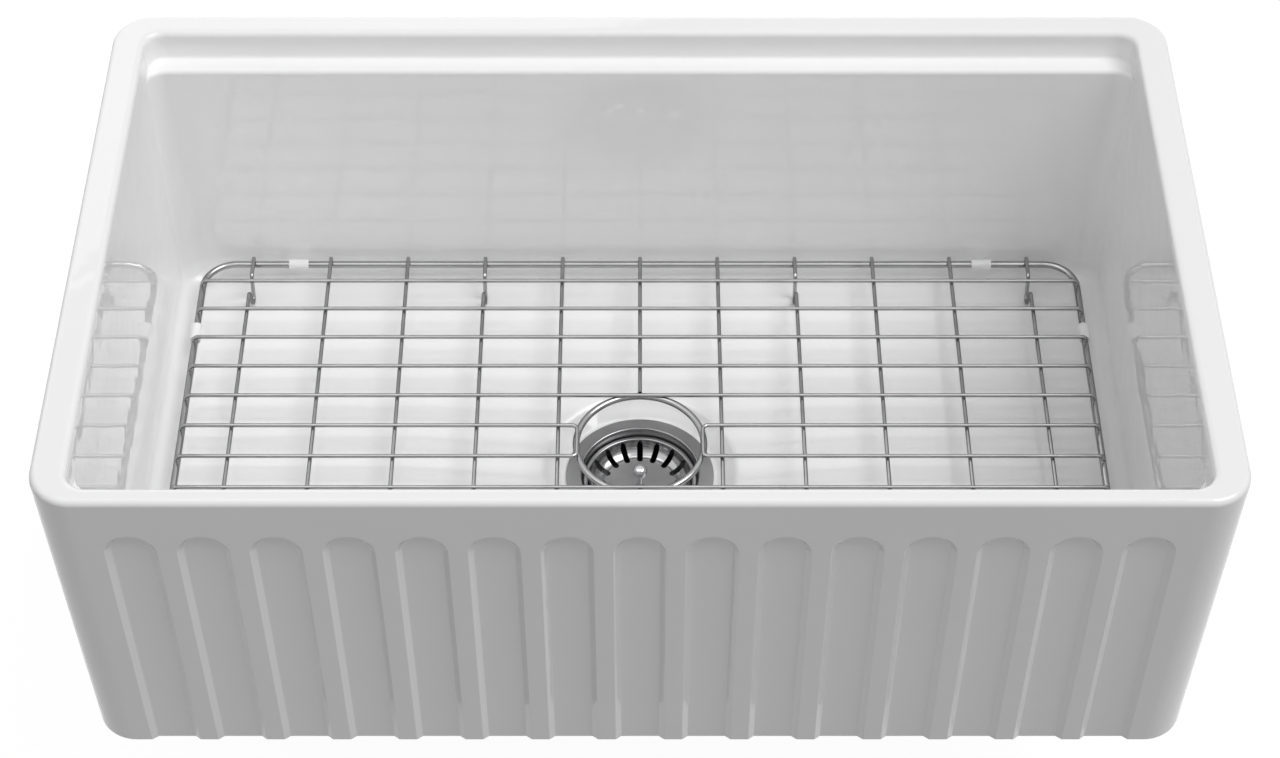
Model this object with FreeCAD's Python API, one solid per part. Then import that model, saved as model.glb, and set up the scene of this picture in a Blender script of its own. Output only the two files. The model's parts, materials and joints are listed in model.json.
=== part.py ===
"""Farmhouse apron front sink: a fluted fireclay basin with a workstation ledge,
a basket strainer with its drain fittings, and a welded rod grid that lifts out.

Millimetres. X runs along the width, +Y to the wall behind the sink, +Z up, and the
apron faces -Y. The origin is the centre of the underside, which rests on the cabinet.
"""
import FreeCAD, Part
import math
import os

# ---------------------------------------------------------------- driving sizes
# basin, outside
basin_width = 762.0
basin_depth = 460.0
basin_height = 260.0
outer_corner = 28.0          # plan radius of the four upright corners
end_draft = 1.0              # degrees that each end wall leans in towards the base
rim_round = 8.0              # outer edge of the rim
base_round = 3.0             # lower edge of the casting

# basin, inside
end_wall = 23.5              # rim width at the two ends
front_rim = 13.5             # rim width over the apron
back_rim = 20.5              # rim width along the wall
rim_inner_round = 4.5
ledge_drop = 22.5            # from the rim down to the ledges
ledge_width = 15.5
ledge_round = 3.5            # front edge of a ledge
ledge_root = 2.5             # where a ledge meets the wall above it
upper_corner = 14.0          # plan radius inside the rim
bowl_corner = 19.0           # plan radius of the bowl below the ledges
floor_round = 16.0           # wall to floor
floor_thickness = 30.0       # at the walls

# floor fall and drain seat
drain_offset = -2.0          # Y of the drain axis
fall_radius = 172.0          # where the floor starts to fall
fall_height = 6.0
dish_width = 14.0            # sloping side between the floor and the flange seat
dish_round = 9.0             # floor to dish
seat_round = 5.0             # dish to seat
seat_margin = 3.0            # flat seat seen round the flange
seat_thickness = 13.2        # fireclay between the seat and the underside
hole_clearance = 2.0         # round the strainer cup
recess_margin = 5.0          # pocket under the basin, round the gasket
recess_depth = 3.0

# flutes of the apron
flute_count = 15
flute_margin = 43.35         # from the end of the apron to the first flute
flute_opening = 33.4         # width at the face of the apron
flute_depth = 3.8
flute_bevel = 3.8            # width of each sloping side
flute_below_rim = 33.5       # crown of the arch, below the rim

# strainer body, a deep pressing with a domed flange
flange_radius = 55.0
flange_edge = 1.2            # thickness of the flange at its edge
flange_nose = 0.55           # rounding of the flange's edge
flange_dome = 2.1            # rise of the flange towards its lip
under_rise = 1.5             # rise of the flange's underside
seal_thickness = 0.8
seal_inset = 1.5             # the seal ends this far inside the flange's edge
seal_gap = 0.05              # hairline between the seal and the flange
cup_inner = 40.2
cup_wall = 2.8
lip_width = 3.6              # from the cup's bore out to the crest of the polished lip
lip_depth = 4.0              # the lip slopes down this far into the cup
lip_round = 1.2
cup_depth = 50.0             # from under the flange to the cup's floor
cup_thread = 33.0            # length of the cup's threaded wall
cup_taper = 1.8              # the cup narrows this much below its thread
cup_foot_round = 4.0
sheet = 1.2                  # wall of the pressed parts
outlet_radius = 19.5
outlet_wall = 4.4            # threaded spigot under the cup
outlet_length = 25.0
spider_bar = 3.6             # width of the cross bars in the outlet
spider_wall = 2.9            # ring round the stopper nut's way
guide_clearance = 0.6        # round the stopper nut

# fittings under the basin
gasket_outer = 57.0
gasket_thickness = 3.2
ring_clearance = 0.2         # of gasket and friction ring on the cup
friction_thickness = 0.8
lock_nut_outer = 56.0
lock_nut_height = 12.0
lock_nut_flange = 3.0
lock_nut_chamfer = 1.5
lock_nut_step = 6.0          # the nut is this much slimmer below its flange
lock_nut_lugs = 8
lug_width = 9.0
lug_reach = 4.0
lug_inset = 0.5              # lugs stop short of the nut's two faces
thread_clearance = 0.05
washer_thickness = 2.6
washer_inset = 0.6           # the washer is this much smaller than the spigot
tube_radius = 19.05          # 1 1/2 inch tailpiece
tube_wall = 1.2
tube_length = 96.4
tube_relief = 0.4            # the tube is slimmer where the nut goes round it
tube_flange_inset = 1.3      # the tube's flange is this much smaller than the spigot
tube_flange_thickness = 1.6
slip_nut_wall = 5.1
slip_nut_grip = 12.0         # length that screws onto the spigot
slip_nut_neck = 6.0          # height of the tapered end under the flange
slip_nut_foot = 4.9          # width of the nut's lower face
slip_nut_edge = 1.5
grip_ribs = 12
rib_reach = 1.6
rib_width = 4.0

# basket
basket_play = 1.8            # round the rim, in the cup
basket_rim_below = 4.7       # top of the basket's rim, below the crest of the lip
basket_depth = 8.8           # from the rim to the upper face of the bottom
basket_floor_radius = 22.0
basket_brim = 3.0            # width of the rolled rim
basket_roll = 3.0            # height of the rolled rim
basket_bend = 9.0            # bottom to side
basket_sheet = 0.9
rim_bend = 1.0
slot_count = 14
slot_width = 4.2
slot_from_rim = 2.8
slot_on_floor = 0.4          # a slot starts this far outside the flat bottom
post_radius = 2.6
post_waist = 1.8
post_foot = 4.4
post_flare = 5.0             # height of the flared foot
post_tip = 4.6               # below the stopper nut
post_fit = 0.02              # between the post and what sits on it
post_tip_roundness = 0.8     # rounding of the post's tip, as a share of its radius
knob_rise = 15.5             # knob centre above the basket's bottom
knob_radius = 5.3
knob_half_height = 4.6
knob_roundness = 0.8         # rounding of the knob, as a share of its size
knob_under_roundness = 0.95  # rounding of its underside, as a share of the width there
knob_socket = 1.4            # the post enters the knob by this much
stopper_lap = 5.0            # the stopper covers the outlet's edge by this much
stopper_thickness = 5.0
stopper_edge = 3.0
rest_gap = 0.3               # between pieces that only rest on each other
stopper_nut_radius = 5.5
stopper_nut_height = 3.0

# rod grid
frame_rod = 2.5              # radius of the frame rod
grid_rod = 1.5               # radius of the thin rods
frame_gap_end = 19.0         # from the frame's centre line to the end walls
frame_gap_back = 8.7         # from the frame's centre line to the back wall
frame_corner = 24.0
grid_above_floor = 17.2      # frame centre line above the floor
long_rod_count = 11
long_rod_inset = 37.3        # first long rod from the frame's end
long_rod_overhang = 3.1      # past the centre line of the frame
cross_rod_count = 12
cross_rod_inset = 24.5       # first cross rod from the frame's side
weld = 0.02                  # hairline between rods, so that each stays a solid of its own
ring_radius = 47.0           # centre line of the drain ring
hairpin_inset = 0.8          # a hairpin ends this far inside the ring's centre line
hairpin_bend = 4.0
end_bend = 3.5               # cross rods turn down to the frame
legged_rods = (1, 4, 8, 11)
leg_from_end = 19.5          # from the rod's end to the top of the leg
leg_span = 18.5              # top of the V, along the rod
leg_slant = 7.6              # from the top of the leg to the middle of its foot
leg_foot = 5.8               # length of the foot
leg_bend = 3.2
foot_bend = 2.9
bumper_radius = 4.0
bumper_length = 15.0
bumper_from_long_rod = 25.04     # past the last long rod but one
bumper_cross_rod = 3             # the side bumpers sit just past this cross rod
bumper_from_cross_rod = 10.4
sleeve_clearance = 0.05

open_end = 1.0               # how far a cut runs past the face it starts from

# ---------------------------------------------------------------- worked out
# basin
half_x = basin_width / 2
half_y = basin_depth / 2
rim_z = basin_height
ledge_z = rim_z - ledge_drop
floor_z = floor_thickness
dish_z = floor_z - fall_height
bowl_x = half_x - end_wall
upper_front = -half_y + front_rim
upper_back = half_y - back_rim
bowl_front = upper_front + ledge_width
bowl_back = upper_back - ledge_width
seat_radius = flange_radius + seat_margin
dish_radius = seat_radius + dish_width
flute_pitch = (basin_width - 2 * flute_margin - flute_opening) / (flute_count - 1)

# strainer, from the flange down
cup_outer = cup_inner + cup_wall
drain_hole_radius = cup_outer + hole_clearance
flange_under = seat_thickness + seal_thickness
lip_crest = flange_under + flange_edge + flange_dome
cup_thread_end = flange_under - cup_thread
cup_floor = flange_under - cup_depth
outlet_outer = outlet_radius + outlet_wall
outlet_end = cup_floor - outlet_length
gasket_inner = cup_outer + ring_clearance
recess_radius = gasket_outer + recess_margin
gasket_bottom = recess_depth - gasket_thickness
friction_bottom = gasket_bottom - friction_thickness
lock_nut_bottom = friction_bottom - lock_nut_height
tube_inner = tube_radius - tube_wall
tube_top = outlet_end - washer_thickness
tube_shoulder = tube_top - tube_flange_thickness
slip_nut_bottom = tube_shoulder - slip_nut_neck

# basket, from the cup's floor and the lip
basket_rim = cup_inner - basket_play
basket_top = lip_crest - basket_rim_below
basket_floor = basket_top - basket_depth
knob_centre = basket_floor + knob_rise
post_top = knob_centre - knob_half_height + knob_socket
stopper_bottom = cup_floor + rest_gap
stopper_top = stopper_bottom + stopper_thickness
stopper_nut_bottom = stopper_bottom - stopper_nut_height

# grid
frame_half_x = bowl_x - frame_gap_end
frame_half_y = bowl_back - frame_gap_back - drain_offset
frame_z = floor_z + grid_above_floor
frame_top = frame_z + frame_rod + weld
long_rod_z = frame_top + grid_rod
cross_rod_z = long_rod_z + 2 * grid_rod + weld
ring_z = cross_rod_z - grid_rod - frame_rod - weld
foot_z = floor_z + rest_gap + grid_rod
long_rod_pitch = 2 * (frame_half_x - long_rod_inset) / (long_rod_count - 1)
cross_rod_pitch = 2 * (frame_half_y - cross_rod_inset) / (cross_rod_count - 1)


# ---------------------------------------------------------------- drawing helpers
def at(x, y, z):
    return FreeCAD.Vector(x, y, z)


UP = at(0, 0, 1)
ALONG = at(1, 0, 0)
BACK = at(0, 1, 0)


def rounded_path(corners, roundings, closed):
    """Straight edges from corner to corner, each corner rounded by its own radius (0 is sharp)."""
    stops = []
    for i, (corner, radius) in enumerate(zip(corners, roundings)):
        if not radius:
            stops.append((corner, None, corner))
            continue
        before = (corners[i - 1] - corner).normalize()
        after = (corners[(i + 1) % len(corners)] - corner).normalize()
        half = before.getAngle(after) / 2
        reach = radius / math.tan(half)
        middle = corner + (before + after).normalize() * (radius / math.sin(half) - radius)
        stops.append((corner + before * reach, middle, corner + after * reach))
    edges = []
    for i, (start, middle, end) in enumerate(stops):
        if middle is not None:
            edges.append(Part.Arc(start, middle, end).toShape())
        if closed or i + 1 < len(stops):
            following = stops[(i + 1) % len(stops)][0]
            if (following - end).Length > 1e-6:
                edges.append(Part.makeLine(end, following))
    return Part.Wire(edges)


def rounded_rectangle(x0, x1, y0, y1, z, corner):
    corners = [at(x0, y0, z), at(x1, y0, z), at(x1, y1, z), at(x0, y1, z)]
    return rounded_path(corners, [corner] * 4, True)


def block(wire, height):
    """The wire's face pushed up by height."""
    return Part.Face(wire).extrude(at(0, 0, height))


def turned(*points):
    """Turns an outline about the drain axis. A point is (radius, z), or (radius, z, rounding)
    where its corner is rounded."""
    corners = [at(p[0], 0, p[1]) for p in points]
    roundings = [p[2] if len(p) > 2 else 0 for p in points]
    face = Part.Face(rounded_path(corners, roundings, True))
    solid = face.revolve(at(0, 0, 0), UP, 360)
    solid.translate(at(0, drain_offset, 0))
    return solid


def tube(outer, inner, bottom, top):
    return turned((inner, bottom), (outer, bottom), (outer, top), (inner, top))


def round_edges(solid, radius, wanted):
    """Rounds each edge whose points all pass the test."""
    edges = [e for e in solid.Edges if all(wanted(p) for p in e.discretize(5))]
    return solid.makeFillet(radius, edges)


def around_drain(solid, count):
    """Copies of a solid, evenly spaced about the drain axis."""
    copies = []
    for k in range(count):
        copy = solid.copy()
        copy.rotate(at(0, drain_offset, 0), UP, 360.0 * k / count)
        copies.append(copy)
    return copies


def radial_bar(inner, outer, width, bottom, height):
    """A straight bar that points away from the drain axis, along +X."""
    return Part.makeBox(outer - inner, width, height, at(inner, drain_offset - width / 2, bottom))


def rod(points, bends, radius):
    """A round rod through the points, bent at each inner one."""
    if not bends:
        run = points[1] - points[0]
        return Part.makeCylinder(radius, run.Length, points[0], run)
    path = rounded_path(points, [0] + bends + [0], False)
    section = Part.Wire(Part.makeCircle(radius, points[0], points[1] - points[0]))
    return path.makePipeShell([section], True, False)


# ---------------------------------------------------------------- basin
def casting_blank():
    """The outside: upright front and back, ends that lean in towards the base."""
    lean = basin_height * math.tan(math.radians(end_draft))
    base = rounded_rectangle(-half_x + lean, half_x - lean, -half_y, half_y, 0, outer_corner)
    top = rounded_rectangle(-half_x, half_x, -half_y, half_y, rim_z, outer_corner)
    blank = Part.makeLoft([base, top], True, True)
    blank = round_edges(blank, rim_round, lambda p: abs(p.z - rim_z) < 0.01)
    return round_edges(blank, base_round, lambda p: abs(p.z) < 0.01)


def bowl_space():
    """The hollow: a bowl with a rounded floor, widened above the ledges."""
    depth = rim_z - floor_z + open_end
    plan = rounded_rectangle(-bowl_x, bowl_x, bowl_front, bowl_back, floor_z, bowl_corner)
    bowl = block(plan, depth)
    bowl = round_edges(bowl, floor_round, lambda p: abs(p.z - floor_z) < 0.01)
    plan = rounded_rectangle(-bowl_x, bowl_x, upper_front, upper_back, ledge_z, upper_corner)
    upper = block(plan, ledge_drop + open_end)
    upper = round_edges(upper, ledge_root, lambda p: abs(p.z - ledge_z) < 0.01)
    return bowl.fuse(upper).removeSplitter()


def ledge_edge(back):
    """What a rounded ledge edge lacks of a sharp one, along the ledge and round both corners."""
    y_edge = bowl_back if back else bowl_front
    away = 1 if back else -1
    x_end = bowl_x - bowl_corner

    def profile(x):
        edge = at(x, y_edge, ledge_z)
        outward = BACK * away
        low = edge - UP * ledge_round
        far = edge + outward * ledge_round
        middle = edge + (outward - UP) * (ledge_round * (1 - math.sqrt(0.5)))
        over = UP * open_end
        inner = low - outward * open_end
        return Part.Face(Part.Wire([
            Part.Arc(low, middle, far).toShape(),
            Part.makeLine(far, far + over),
            Part.makeLine(far + over, inner + UP * ledge_round + over),
            Part.makeLine(inner + UP * ledge_round + over, inner),
            Part.makeLine(inner, low),
        ]))

    strip = profile(-x_end).extrude(ALONG * (2 * x_end))
    for side in (-1, 1):
        corner = at(side * x_end, y_edge - away * bowl_corner, ledge_z)
        strip = strip.fuse(profile(side * x_end).revolve(corner, UP, -90 * side * away))
    inside = Part.makeBox(2 * bowl_x, basin_depth, basin_height, at(-bowl_x, -half_y, 0))
    return strip.common(inside)


def drain_space():
    """The fall of the floor, the dish and the flange seat."""
    slope = fall_height / (fall_radius - dish_radius)
    top = floor_z + open_end
    return turned(
        (0, seat_thickness),
        (seat_radius, seat_thickness, seat_round),
        (dish_radius, dish_z, dish_round),
        (fall_radius + open_end / slope, top),
        (0, top),
    )


def flutes():
    """Arched recesses with sloping sides, open at the foot of the apron."""
    arch_radius = flute_opening / 2
    arch_z = rim_z - flute_below_rim - arch_radius
    foot = -base_round - open_end

    def arch(half_width, y):
        spring_left, spring_right = at(-half_width, y, arch_z), at(half_width, y, arch_z)
        left, right = at(-half_width, y, foot), at(half_width, y, foot)
        return Part.Wire([
            Part.makeLine(left, right),
            Part.makeLine(right, spring_right),
            Part.Arc(spring_right, at(0, y, arch_z + half_width), spring_left).toShape(),
            Part.makeLine(spring_left, left),
        ])

    grow = flute_bevel / flute_depth * open_end
    mouth = arch(arch_radius + grow, -half_y - open_end)
    bed = arch(arch_radius - flute_bevel, -half_y + flute_depth)
    flute = Part.makeLoft([mouth, bed], True, True)
    cuts = []
    for k in range(flute_count):
        cut = flute.copy()
        cut.translate(ALONG * ((k - (flute_count - 1) / 2) * flute_pitch))
        cuts.append(cut)
    return cuts


def basin():
    body = casting_blank().cut(bowl_space())

    def on_inner_rim(p):
        inside = abs(p.x) < bowl_x + 0.01 and upper_front - 0.01 < p.y < upper_back + 0.01
        return abs(p.z - rim_z) < 0.01 and inside

    body = round_edges(body, rim_inner_round, on_inner_rim)
    body = body.cut([ledge_edge(True), ledge_edge(False)])
    body = body.cut(drain_space())
    hole = tube(drain_hole_radius, 0, -open_end, floor_z)
    pocket = tube(recess_radius, 0, -open_end, recess_depth)
    body = body.cut([hole, pocket])
    return body.cut(flutes())


# ---------------------------------------------------------------- drain fittings
def strainer_body():
    """Flange, polished lip, threaded cup and the spigot with its spider, pressed as one."""
    cup_foot = cup_inner - cup_taper
    shell = turned(
        (cup_outer, flange_under + under_rise),
        (flange_radius, flange_under, flange_nose),
        (flange_radius, flange_under + flange_edge, flange_nose),
        (cup_inner + lip_width, lip_crest, lip_round),
        (cup_inner, lip_crest - lip_depth, lip_round),
        (cup_inner, cup_thread_end),
        (cup_foot, cup_floor, cup_foot_round),
        (outlet_radius, cup_floor),
        (outlet_radius, outlet_end),
        (outlet_outer, outlet_end),
        (outlet_outer, cup_floor - sheet),
        (cup_foot + sheet, cup_floor - sheet, cup_foot_round + sheet),
        (cup_outer, cup_thread_end),
    )
    bar = radial_bar(-outlet_radius - sheet, outlet_radius + sheet, spider_bar, cup_floor - sheet, sheet)
    cross = bar.copy()
    cross.rotate(at(0, drain_offset, 0), UP, 90)
    guide_radius = stopper_nut_radius + guide_clearance
    hub = tube(guide_radius + spider_wall, 0, cup_floor - sheet, cup_floor)
    guide = tube(guide_radius, 0, cup_floor - 2 * sheet, cup_floor + sheet)
    return shell.fuse([bar, cross, hub]).cut(guide).removeSplitter()


def flange_seal():
    """The bed of sealant between the flange and its seat."""
    inner = cup_outer + ring_clearance
    outer = flange_radius - seal_inset
    slope = under_rise / (flange_radius - cup_outer)
    return turned(
        (inner, seat_thickness),
        (outer, seat_thickness),
        (outer, flange_under + slope * seal_inset - seal_gap),
        (inner, flange_under + slope * (flange_radius - inner) - seal_gap),
    )


def lock_nut():
    """A cast ring nut with lugs for a spanner, slimmer below its flange."""
    bore = cup_outer + thread_clearance
    slim = lock_nut_outer - lock_nut_step
    flange_bottom = friction_bottom - lock_nut_flange
    lug_end = lock_nut_outer + lug_reach - lock_nut_chamfer
    ring = turned(
        (bore, friction_bottom),
        (lock_nut_outer, friction_bottom),
        (lock_nut_outer, flange_bottom),
        (slim, flange_bottom - lock_nut_chamfer),
        (slim, lock_nut_bottom),
        (bore, lock_nut_bottom),
    )
    lug = radial_bar(slim - lug_reach, lug_end, lug_width, lock_nut_bottom + lug_inset,
                     lock_nut_height - 2 * lug_inset)
    return ring.fuse(around_drain(lug, lock_nut_lugs)).removeSplitter()


def tailpiece_washer():
    """The washer between the spigot and the tailpiece's flange."""
    return tube(outlet_outer - washer_inset, tube_inner, tube_top, outlet_end)


def tailpiece():
    """A plain tube with a flange that the coupling nut draws up to the washer."""
    flange = outlet_outer - tube_flange_inset
    slim = tube_radius - tube_relief
    end = tube_top - tube_length
    return turned(
        (tube_inner, tube_top),
        (flange, tube_top),
        (flange, tube_shoulder),
        (slim, tube_shoulder),
        (slim, slip_nut_bottom - tube_relief),
        (tube_radius, slip_nut_bottom - tube_relief),
        (tube_radius, end),
        (tube_inner, end),
    )


def coupling_nut():
    """The ribbed nut that screws onto the spigot and holds the tailpiece by its flange."""
    bore = outlet_outer + thread_clearance
    neck = tube_radius + thread_clearance
    outer = bore + slip_nut_wall
    top = outlet_end + slip_nut_grip
    ring = turned(
        (bore, top),
        (outer, top, slip_nut_edge),
        (outer, tube_shoulder, slip_nut_edge),
        (neck + slip_nut_foot, slip_nut_bottom),
        (neck, slip_nut_bottom),
        (neck, tube_shoulder),
        (bore, tube_shoulder),
    )
    height = top - tube_top - slip_nut_edge
    rib = radial_bar(outer - rib_reach, outer + rib_reach, rib_width, tube_top, height)
    return ring.fuse(around_drain(rib, grip_ribs)).removeSplitter()


# ---------------------------------------------------------------- basket
def basket_shell():
    """A shallow slotted bowl with a rolled rim."""
    side = math.atan2(basket_depth, basket_rim - basket_brim - basket_floor_radius)
    out = basket_sheet * math.tan(side / 2)
    under = basket_top - basket_sheet
    brim = basket_rim - basket_brim
    shell = turned(
        (post_radius, basket_floor),
        (basket_floor_radius, basket_floor, basket_bend),
        (brim, basket_top, rim_bend),
        (basket_rim, basket_top, rim_bend + basket_sheet),
        (basket_rim, basket_top - basket_roll),
        (basket_rim - basket_sheet, basket_top - basket_roll),
        (basket_rim - basket_sheet, under, rim_bend),
        (brim + out, under, rim_bend),
        (basket_floor_radius + out, basket_floor - basket_sheet, basket_bend + basket_sheet),
        (post_radius, basket_floor - basket_sheet),
    )
    end = slot_width / 2
    first = basket_floor_radius + slot_on_floor + end
    last = basket_rim - slot_from_rim - end
    bottom = basket_floor - basket_sheet - open_end
    height = basket_depth + basket_sheet + 2 * open_end
    slot = radial_bar(first, last, slot_width, bottom, height)
    for r in (first, last):
        slot = slot.fuse(Part.makeCylinder(end, height, at(r, drain_offset, bottom), UP))
    slot = slot.removeSplitter()
    slot.rotate(at(0, drain_offset, 0), UP, 90)
    return shell.cut(around_drain(slot, slot_count))


def basket_post():
    """The flared stem inside the basket and the pin below it that carries the stopper."""
    pin = post_radius - post_fit
    under = basket_floor - basket_sheet
    return turned(
        (0, post_top),
        (post_waist, post_top),
        (post_waist, basket_floor + post_flare, post_flare),
        (post_foot, basket_floor),
        (pin, basket_floor),
        (pin, under),
        (post_foot, under),
        (post_foot, stopper_top),
        (pin, stopper_top),
        (pin, stopper_nut_bottom - post_tip, pin * post_tip_roundness),
        (0, stopper_nut_bottom - post_tip),
    )


def basket_knob():
    """A slightly flattened ball with a socket for the post."""
    top = knob_centre + knob_half_height
    bottom = knob_centre - knob_half_height
    socket = post_waist + post_fit
    round_off = math.sqrt(knob_half_height * knob_radius) * knob_roundness
    return turned(
        (0, top),
        (knob_radius, top, round_off),
        (knob_radius, bottom, min(round_off, (knob_radius - socket) * knob_under_roundness)),
        (socket, bottom),
        (socket, post_top + post_fit),
        (0, post_top + post_fit),
    )


def basket_stopper():
    """The rubber disc that closes the outlet when the basket is pushed down."""
    bore = post_radius
    outer = outlet_radius + stopper_lap
    return turned(
        (bore, stopper_top - post_fit),
        (outer, stopper_top - post_fit, stopper_edge),
        (outer, stopper_bottom),
        (bore, stopper_bottom),
    )


def stopper_nut():
    """A round nut on the post, small enough to enter the spider's hub."""
    return tube(stopper_nut_radius, post_radius, stopper_nut_bottom, stopper_bottom - post_fit)


# ---------------------------------------------------------------- rod grid
def frame_loop():
    """The closed frame rod: four straight lengths and four quarter bends."""
    x = frame_half_x
    y = frame_half_y
    c = frame_corner
    pieces = []
    for side in (-1, 1):
        pieces.append(Part.makeCylinder(frame_rod, 2 * (x - c), at(c - x, side * y, 0), ALONG))
        pieces.append(Part.makeCylinder(frame_rod, 2 * (y - c), at(side * x, c - y, 0), BACK))
    corners = ((1, 1, 0), (-1, 1, 90), (-1, -1, 180), (1, -1, 270))
    for side_x, side_y, turn in corners:
        bend = Part.makeTorus(c, frame_rod, at(0, 0, 0), UP, -180, 180, 90)
        bend.rotate(at(0, 0, 0), UP, turn)
        bend.translate(at(side_x * (x - c), side_y * (y - c), 0))
        pieces.append(bend)
    loop = pieces[0].fuse(pieces[1:]).removeSplitter()
    loop.translate(at(0, drain_offset, frame_z))
    return loop


def long_rod_x(number):
    return (number - (long_rod_count + 1) / 2) * long_rod_pitch


def long_rod_end():
    """Distance of a long rod's end from the middle of the grid."""
    return frame_half_y + long_rod_overhang


def leg_points(side):
    """One V leg, from the rod's end towards its middle: its Y and Z at each bend."""
    top = long_rod_end() - leg_from_end
    foot = top - leg_slant
    offsets = [
        (long_rod_end(), long_rod_z),
        (top, long_rod_z),
        (foot + leg_foot / 2, foot_z),
        (foot - leg_foot / 2, foot_z),
        (top - leg_span, long_rod_z),
    ]
    return [(side * y + drain_offset, z) for y, z in offsets]


def long_rod(number):
    """One rod from front to back. Legged rods dip to the floor near each end."""
    x = long_rod_x(number)
    if number not in legged_rods:
        start = at(x, drain_offset - long_rod_end(), long_rod_z)
        return rod([start, start + BACK * (2 * long_rod_end())], [], grid_rod)
    route = leg_points(-1) + leg_points(1)[::-1]
    bends = [leg_bend, foot_bend, foot_bend, leg_bend]
    return rod([at(x, y, z) for y, z in route], bends + bends, grid_rod)


def middle_rod(side):
    """Half of the middle long rod, which stops at the drain ring."""
    ring_edge = ring_radius + frame_rod + weld
    start = at(0, drain_offset + side * ring_edge, long_rod_z)
    return rod([start, at(0, drain_offset + side * long_rod_end(), long_rod_z)], [], grid_rod)


def cross_rod_y(number):
    return drain_offset + ((cross_rod_count + 1) / 2 - number) * cross_rod_pitch


def cross_rod(number):
    """One rod from end to end, with both ends turned down onto the frame."""
    y = cross_rod_y(number)
    x = frame_half_x
    points = [at(-x, y, frame_top), at(-x, y, cross_rod_z), at(x, y, cross_rod_z), at(x, y, frame_top)]
    return rod(points, [end_bend, end_bend], grid_rod)


def hairpin(side):
    """The two middle cross rods of one end, made of one rod that turns back at the ring."""
    middle = cross_rod_count // 2
    y_back, y_front = cross_rod_y(middle), cross_rod_y(middle + 1)
    x = frame_half_x * side
    turn = (ring_radius - hairpin_inset) * side
    points = [
        at(x, y_back, frame_top), at(x, y_back, cross_rod_z), at(turn, y_back, cross_rod_z),
        at(turn, y_front, cross_rod_z), at(x, y_front, cross_rod_z), at(x, y_front, frame_top),
    ]
    return rod(points, [end_bend, hairpin_bend, hairpin_bend, end_bend], grid_rod)


def drain_ring():
    return Part.makeTorus(ring_radius, frame_rod, at(0, drain_offset, ring_z), UP)


def bumper(x, y, direction):
    """A soft sleeve on the frame rod that keeps it off the glaze."""
    start = at(x, y + drain_offset, frame_z) - direction * (bumper_length / 2)
    outer = Part.makeCylinder(bumper_radius, bumper_length, start, direction)
    bore = Part.makeCylinder(frame_rod + sleeve_clearance, bumper_length, start, direction)
    return outer.cut(bore)


# ---------------------------------------------------------------- assembly
def grid_pieces():
    pieces = {"grid_frame": frame_loop(), "drain_ring": drain_ring()}
    middle = (long_rod_count + 1) // 2
    for number in range(1, long_rod_count + 1):
        if number != middle:
            pieces["long_rod_%02d" % number] = long_rod(number)
    pieces["long_rod_%02d_front" % middle] = middle_rod(-1)
    pieces["long_rod_%02d_back" % middle] = middle_rod(1)
    cut_rods = (cross_rod_count // 2, cross_rod_count // 2 + 1)
    for number in range(1, cross_rod_count + 1):
        if number not in cut_rods:
            pieces["cross_rod_%02d" % number] = cross_rod(number)
    pieces["hairpin_rod_left"] = hairpin(-1)
    pieces["hairpin_rod_right"] = hairpin(1)
    bumper_x = long_rod_x(long_rod_count - 1) + bumper_from_long_rod
    bumper_y = cross_rod_y(bumper_cross_rod) - drain_offset + bumper_from_cross_rod
    for name_x, side_x in (("left", -1), ("right", 1)):
        for name_y, side_y in (("front", -1), ("back", 1)):
            on_long = bumper(side_x * bumper_x, side_y * frame_half_y, ALONG)
            on_short = bumper(side_x * frame_half_x, side_y * bumper_y, BACK)
            pieces["bumper_%s_%s" % (name_y, name_x)] = on_long
            pieces["bumper_%s_side_%s" % (name_x, name_y)] = on_short
    return pieces


def drain_pieces():
    return {
        "strainer_body": strainer_body(),
        "flange_seal": flange_seal(),
        "under_gasket": tube(gasket_outer, gasket_inner, gasket_bottom, recess_depth),
        "friction_ring": tube(gasket_outer, gasket_inner, friction_bottom, gasket_bottom),
        "lock_nut": lock_nut(),
        "tailpiece_washer": tailpiece_washer(),
        "coupling_nut": coupling_nut(),
        "tailpiece": tailpiece(),
    }


def basket_pieces():
    return {
        "basket_shell": basket_shell(),
        "basket_post": basket_post(),
        "basket_knob": basket_knob(),
        "basket_stopper": basket_stopper(),
        "stopper_nut": stopper_nut(),
    }


def main():
    os.makedirs("parts", exist_ok=True)
    pieces = {"basin": basin()}
    pieces.update(drain_pieces())
    pieces.update(basket_pieces())
    pieces.update(grid_pieces())
    for name, shape in pieces.items():
        shape.exportStep("parts/%s.step" % name)
        print("%-24s %8.1f cm3 %d solid" % (name, shape.Volume / 1000, len(shape.Solids)),
              "" if shape.isValid() else "NOT VALID")


main()
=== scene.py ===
"""Farmhouse apron front sink: a fluted, white glazed basin with a basket strainer and a
rod grid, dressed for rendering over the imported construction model."""
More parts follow.
